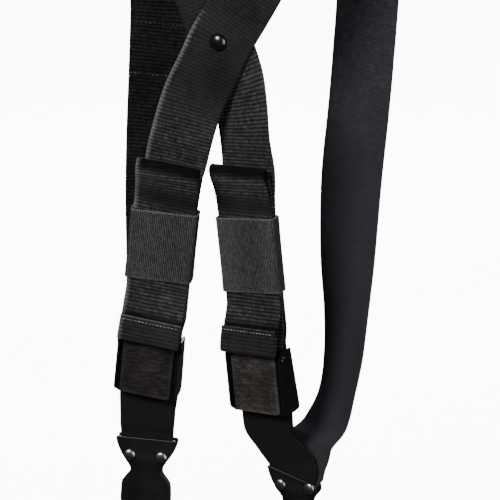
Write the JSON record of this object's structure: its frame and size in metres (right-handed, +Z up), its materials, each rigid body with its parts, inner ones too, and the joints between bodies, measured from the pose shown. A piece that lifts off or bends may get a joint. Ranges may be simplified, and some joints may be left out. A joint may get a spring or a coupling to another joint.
{
  "type": "crossed-back strap harness",
  "caption": "Crossed-back webbing harness with lever buckles, elastic keepers, riveted leather couplers and swivelling snap hooks at its lower ends.",
  "frame": {"origin": "midway between the shoulders, level with the undersides of the two shoulder arches that the harness hangs from", "axes": "+Z up, +X towards the wearer's right, +Y towards the wearer's chest, so the crossing at the back faces -Y"},
  "size_m": [0.1924, 0.0913, 0.6251],
  "materials": {
    "webbing": "ribbed woven webbing",
    "lower_webbing": "smooth close-woven strap",
    "elastic": "knitted elastic",
    "suede": "napped suede",
    "leather": "smooth, slightly glossy leather",
    "black_metal": "gloss black",
    "gunmetal": "dark polished"
  },
  "bodies": {
    "harness": {"back_strap_outer": "webbing", "back_strap_inner": "webbing", "crossing_rivet": "black_metal", "crossing_washer": "black_metal", "left_front_strap": "webbing", "left_lower_strap": "lower_webbing", "left_buckle_frame": "black_metal", "left_lever_pin": "black_metal", "left_coupler_leather": "leather", "left_rivet_left": "gunmetal", "left_rivet_right": "gunmetal", "right_front_strap": "webbing", "right_lower_strap": "lower_webbing", "right_buckle_frame": "black_metal", "right_lever_pin": "black_metal", "right_coupler_leather": "leather", "right_rivet_left": "gunmetal", "right_rivet_right": "gunmetal"},
    "left_keeper_band": {"left_keeper": "elastic"},
    "left_lever": {"left_buckle_lever": "black_metal", "left_lever_pad": "suede"},
    "left_eye": {"left_swivel_eye": "gunmetal"},
    "left_hook": {"left_snap_hook": "gunmetal", "left_gate_pin": "gunmetal", "left_gate_spring": "gunmetal"},
    "left_gate": {"left_snap_gate": "gunmetal"},
    "right_keeper_band": {"right_keeper": "elastic"},
    "right_lever": {"right_buckle_lever": "black_metal", "right_lever_pad": "suede"},
    "right_eye": {"right_swivel_eye": "gunmetal"},
    "right_hook": {"right_snap_hook": "gunmetal", "right_gate_pin": "gunmetal", "right_gate_spring": "gunmetal"},
    "right_gate": {"right_snap_gate": "gunmetal"}
  },
  "joints": [
    {"name": "left_keeper_slide", "type": "slide", "parent": "harness", "child": "left_keeper_band", "axis": [0.1681, -0.2111, 0.9629], "range_m": [-0.006, 0.004]},
    {"name": "left_lever_hinge", "type": "hinge", "parent": "harness", "child": "left_lever", "pos_m": [-0.05169, 0.01421, -0.42678], "axis": [-0.9845, -0.0861, 0.153], "range_deg": [0, 80]},
    {"name": "left_eye_hinge", "type": "hinge", "parent": "harness", "child": "left_eye", "pos_m": [-0.06359, 0.03582, -0.55596], "axis": [0.9956, 0.0871, -0.0349], "range_deg": [-50, 50]},
    {"name": "left_hook_spin", "type": "hinge", "parent": "left_eye", "child": "left_hook", "pos_m": [-0.06359, 0.03582, -0.55596], "axis": [0.0348, 0.003, 0.9994], "continuous": true},
    {"name": "left_gate_hinge", "type": "hinge", "parent": "left_hook", "child": "left_gate", "pos_m": [-0.06027, 0.03611, -0.58109], "axis": [-0.0872, 0.9962, 0], "range_deg": [0, 25], "stiffness_Nm_per_rad": 0.05, "springref_deg": -11.46},
    {"name": "right_keeper_slide", "type": "slide", "parent": "harness", "child": "right_keeper_band", "axis": [-0.0705, -0.0885, 0.9936], "range_m": [-0.006, 0.004]},
    {"name": "right_lever_hinge", "type": "hinge", "parent": "harness", "child": "right_lever", "pos_m": [0.01934, 0.01094, -0.42784], "axis": [-0.9603, 0.2754, -0.0436], "range_deg": [0, 80]},
    {"name": "right_eye_hinge", "type": "hinge", "parent": "harness", "child": "right_eye", "pos_m": [0.04274, 0.03153, -0.56516], "axis": [0.9738, -0.2248, 0.0349], "range_deg": [-50, 50]},
    {"name": "right_hook_spin", "type": "hinge", "parent": "right_eye", "child": "right_hook", "pos_m": [0.04274, 0.03153, -0.56516], "axis": [-0.034, 0.0079, 0.9994], "continuous": true},
    {"name": "right_gate_hinge", "type": "hinge", "parent": "right_hook", "child": "right_gate", "pos_m": [0.04768, 0.03039, -0.59], "axis": [0.225, 0.9744, 0], "range_deg": [0, 25], "stiffness_Nm_per_rad": 0.05, "springref_deg": -11.46}
  ]
}
